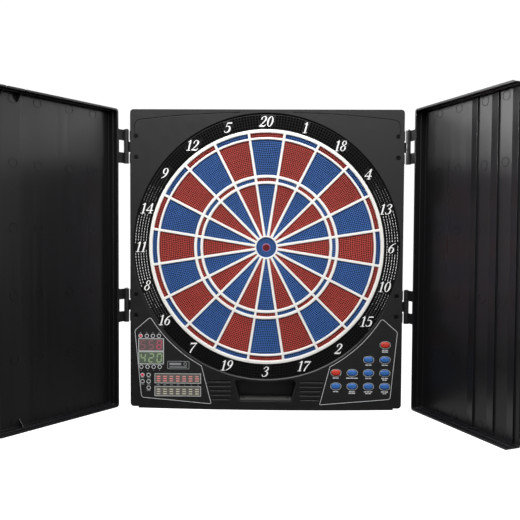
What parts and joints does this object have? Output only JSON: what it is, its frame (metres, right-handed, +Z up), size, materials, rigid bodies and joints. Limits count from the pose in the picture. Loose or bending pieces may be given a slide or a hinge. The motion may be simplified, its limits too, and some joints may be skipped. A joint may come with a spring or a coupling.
{
  "type": "electronic dartboard",
  "caption": "Wall-hung electronic dartboard: round soft-tip target with sprung beds, score displays, keypad and dart tray, between two hinged cabinet doors.",
  "frame": {"origin": "on the wall plane, straight behind the centre of the bull", "axes": "+Z up, +X to the right as seen from the front, +Y into the wall, so the target faces -Y"},
  "size_m": [0.7597, 0.2707, 0.519],
  "materials": {
    "housing": "moulded black ABS, fine spark-eroded grain",
    "bezel": "moulded charcoal ABS, fine spark-eroded grain",
    "number_ring": "glossy black moulded plastic",
    "spider": "off-white moulded plastic, slightly glossy",
    "blue_beds": "blue moulded polypropylene, satin",
    "red_beds": "red moulded polypropylene, satin",
    "red_buttons": "translucent red silicone key",
    "blue_buttons": "translucent blue silicone key",
    "doors": "charcoal moulded plastic, satin",
    "hinges": "black moulded plastic hinge",
    "steel": "plain steel pin",
    "steel_dark": "blackened steel screw",
    "circuit_board": "green solder mask on glass-fibre board",
    "keypad_rubber": "grey silicone sheet",
    "rubber_mat": "dark rubber mat",
    "membrane": "printed polyester film",
    "backing_board": "pressed fibre board",
    "cable": "grey ribbon cable",
    "speaker": "black pressed frame with a paper cone",
    "power_jack": "black moulded socket",
    "red_display": "dark red window with seven-segment digits",
    "green_display": "dark green window with seven-segment digits",
    "cricket_display": "window with lamp bars",
    "lamps": "round light-emitting diode",
    "overlay": "printed polycarbonate film, fine grain"
  },
  "bodies": {
    "housing": {"rear_housing": "housing", "front_bezel": "bezel", "number_ring": "number_ring", "spider": "spider", "rubber_mat": "rubber_mat", "sensor_membrane": "membrane", "backing_board": "backing_board", "main_board": "circuit_board", "speaker": "speaker", "power_jack": "power_jack", "ribbon_cables": "cable", "display_board": "circuit_board", "red_score_display": "red_display", "green_score_display": "green_display", "cricket_displays": "cricket_display", "indicator_leds": "lamps", "panel_overlays": "overlay", "keypad_board": "circuit_board", "keypad_rubber": "keypad_rubber", "dart_tray": "housing", "housing_screws": "steel_dark", "hinge_housing_leaves": "hinges", "hinge_pins": "steel"},
    "left_door": {"left_door": "doors", "left_hinge_leaves": "hinges"},
    "right_door": {"right_door": "doors", "right_hinge_leaves": "hinges"},
    "outer_bull": {"outer_bull": "blue_beds"},
    "inner_bull": {"inner_bull": "red_beds"},
    "beds_20": {"beds_20": "blue_beds"},
    "beds_1": {"beds_1": "red_beds"},
    "beds_18": {"beds_18": "blue_beds"},
    "beds_4": {"beds_4": "red_beds"},
    "beds_13": {"beds_13": "blue_beds"},
    "beds_6": {"beds_6": "red_beds"},
    "beds_10": {"beds_10": "blue_beds"},
    "beds_15": {"beds_15": "red_beds"},
    "beds_2": {"beds_2": "blue_beds"},
    "beds_17": {"beds_17": "red_beds"},
    "beds_3": {"beds_3": "blue_beds"},
    "beds_19": {"beds_19": "red_beds"},
    "beds_7": {"beds_7": "blue_beds"},
    "beds_16": {"beds_16": "red_beds"},
    "beds_8": {"beds_8": "blue_beds"},
    "beds_11": {"beds_11": "red_beds"},
    "beds_14": {"beds_14": "blue_beds"},
    "beds_9": {"beds_9": "red_beds"},
    "beds_12": {"beds_12": "blue_beds"},
    "beds_5": {"beds_5": "red_beds"},
    "start_button": {"start_button": "red_buttons"},
    "power_button": {"power_button": "blue_buttons"},
    "sound_button": {"sound_button": "blue_buttons"},
    "select_button": {"select_button": "red_buttons"},
    "game_button": {"game_button": "blue_buttons"},
    "player_button": {"player_button": "blue_buttons"},
    "level_button": {"level_button": "blue_buttons"},
    "handicap_button": {"handicap_button": "blue_buttons"},
    "score_button": {"score_button": "blue_buttons"},
    "double_button": {"double_button": "blue_buttons"},
    "bounce_button": {"bounce_button": "blue_buttons"}
  },
  "joints": [
    {"name": "left_door_hinge", "type": "hinge", "parent": "housing", "child": "left_door", "pos_m": [-0.2415, -0.05, 0], "axis": [0, 0, 1], "range_deg": [-54.3, 125.7]},
    {"name": "right_door_hinge", "type": "hinge", "parent": "housing", "child": "right_door", "pos_m": [0.2415, -0.05, 0], "axis": [0, 0, -1], "range_deg": [-66.9, 113.1]},
    {"name": "outer_bull_press", "type": "slide", "parent": "housing", "child": "outer_bull", "axis": [0, 1, 0], "range_m": [0, 0.0009], "stiffness_N_per_m": 1500},
    {"name": "inner_bull_press", "type": "slide", "parent": "outer_bull", "child": "inner_bull", "axis": [0, 1, 0], "range_m": [0, 0.0009], "stiffness_N_per_m": 1500},
    {"name": "beds_20_press", "type": "slide", "parent": "housing", "child": "beds_20", "axis": [0, 1, 0], "range_m": [0, 0.0009], "stiffness_N_per_m": 1500},
    {"name": "beds_1_press", "type": "slide", "parent": "housing", "child": "beds_1", "axis": [0, 1, 0], "range_m": [0, 0.0009], "stiffness_N_per_m": 1500},
    {"name": "beds_18_press", "type": "slide", "parent": "housing", "child": "beds_18", "axis": [0, 1, 0], "range_m": [0, 0.0009], "stiffness_N_per_m": 1500},
    {"name": "beds_4_press", "type": "slide", "parent": "housing", "child": "beds_4", "axis": [0, 1, 0], "range_m": [0, 0.0009], "stiffness_N_per_m": 1500},
    {"name": "beds_13_press", "type": "slide", "parent": "housing", "child": "beds_13", "axis": [0, 1, 0], "range_m": [0, 0.0009], "stiffness_N_per_m": 1500},
    {"name": "beds_6_press", "type": "slide", "parent": "housing", "child": "beds_6", "axis": [0, 1, 0], "range_m": [0, 0.0009], "stiffness_N_per_m": 1500},
    {"name": "beds_10_press", "type": "slide", "parent": "housing", "child": "beds_10", "axis": [0, 1, 0], "range_m": [0, 0.0009], "stiffness_N_per_m": 1500},
    {"name": "beds_15_press", "type": "slide", "parent": "housing", "child": "beds_15", "axis": [0, 1, 0], "range_m": [0, 0.0009], "stiffness_N_per_m": 1500},
    {"name": "beds_2_press", "type": "slide", "parent": "housing", "child": "beds_2", "axis": [0, 1, 0], "range_m": [0, 0.0009], "stiffness_N_per_m": 1500},
    {"name": "beds_17_press", "type": "slide", "parent": "housing", "child": "beds_17", "axis": [0, 1, 0], "range_m": [0, 0.0009], "stiffness_N_per_m": 1500},
    {"name": "beds_3_press", "type": "slide", "parent": "housing", "child": "beds_3", "axis": [0, 1, 0], "range_m": [0, 0.0009], "stiffness_N_per_m": 1500},
    {"name": "beds_19_press", "type": "slide", "parent": "housing", "child": "beds_19", "axis": [0, 1, 0], "range_m": [0, 0.0009], "stiffness_N_per_m": 1500},
    {"name": "beds_7_press", "type": "slide", "parent": "housing", "child": "beds_7", "axis": [0, 1, 0], "range_m": [0, 0.0009], "stiffness_N_per_m": 1500},
    {"name": "beds_16_press", "type": "slide", "parent": "housing", "child": "beds_16", "axis": [0, 1, 0], "range_m": [0, 0.0009], "stiffness_N_per_m": 1500},
    {"name": "beds_8_press", "type": "slide", "parent": "housing", "child": "beds_8", "axis": [0, 1, 0], "range_m": [0, 0.0009], "stiffness_N_per_m": 1500},
    {"name": "beds_11_press", "type": "slide", "parent": "housing", "child": "beds_11", "axis": [0, 1, 0], "range_m": [0, 0.0009], "stiffness_N_per_m": 1500},
    {"name": "beds_14_press", "type": "slide", "parent": "housing", "child": "beds_14", "axis": [0, 1, 0], "range_m": [0, 0.0009], "stiffness_N_per_m": 1500},
    {"name": "beds_9_press", "type": "slide", "parent": "housing", "child": "beds_9", "axis": [0, 1, 0], "range_m": [0, 0.0009], "stiffness_N_per_m": 1500},
    {"name": "beds_12_press", "type": "slide", "parent": "housing", "child": "beds_12", "axis": [0, 1, 0], "range_m": [0, 0.0009], "stiffness_N_per_m": 1500},
    {"name": "beds_5_press", "type": "slide", "parent": "housing", "child": "beds_5", "axis": [0, 1, 0], "range_m": [0, 0.0009], "stiffness_N_per_m": 1500},
    {"name": "start_button_press", "type": "slide", "parent": "housing", "child": "start_button", "axis": [0, 1, 0], "range_m": [0, 0.0012], "stiffness_N_per_m": 600},
    {"name": "power_button_press", "type": "slide", "parent": "housing", "child": "power_button", "axis": [0, 1, 0], "range_m": [0, 0.0012], "stiffness_N_per_m": 600},
    {"name": "sound_button_press", "type": "slide", "parent": "housing", "child": "sound_button", "axis": [0, 1, 0], "range_m": [0, 0.0012], "stiffness_N_per_m": 600},
    {"name": "select_button_press", "type": "slide", "parent": "housing", "child": "select_button", "axis": [0, 1, 0], "range_m": [0, 0.0012], "stiffness_N_per_m": 600},
    {"name": "game_button_press", "type": "slide", "parent": "housing", "child": "game_button", "axis": [0, 1, 0], "range_m": [0, 0.0012], "stiffness_N_per_m": 600},
    {"name": "player_button_press", "type": "slide", "parent": "housing", "child": "player_button", "axis": [0, 1, 0], "range_m": [0, 0.0012], "stiffness_N_per_m": 600},
    {"name": "level_button_press", "type": "slide", "parent": "housing", "child": "level_button", "axis": [0, 1, 0], "range_m": [0, 0.0012], "stiffness_N_per_m": 600},
    {"name": "handicap_button_press", "type": "slide", "parent": "housing", "child": "handicap_button", "axis": [0, 1, 0], "range_m": [0, 0.0012], "stiffness_N_per_m": 600},
    {"name": "score_button_press", "type": "slide", "parent": "housing", "child": "score_button", "axis": [0, 1, 0], "range_m": [0, 0.0012], "stiffness_N_per_m": 600},
    {"name": "double_button_press", "type": "slide", "parent": "housing", "child": "double_button", "axis": [0, 1, 0], "range_m": [0, 0.0012], "stiffness_N_per_m": 600},
    {"name": "bounce_button_press", "type": "slide", "parent": "housing", "child": "bounce_button", "axis": [0, 1, 0], "range_m": [0, 0.0012], "stiffness_N_per_m": 600}
  ]
}
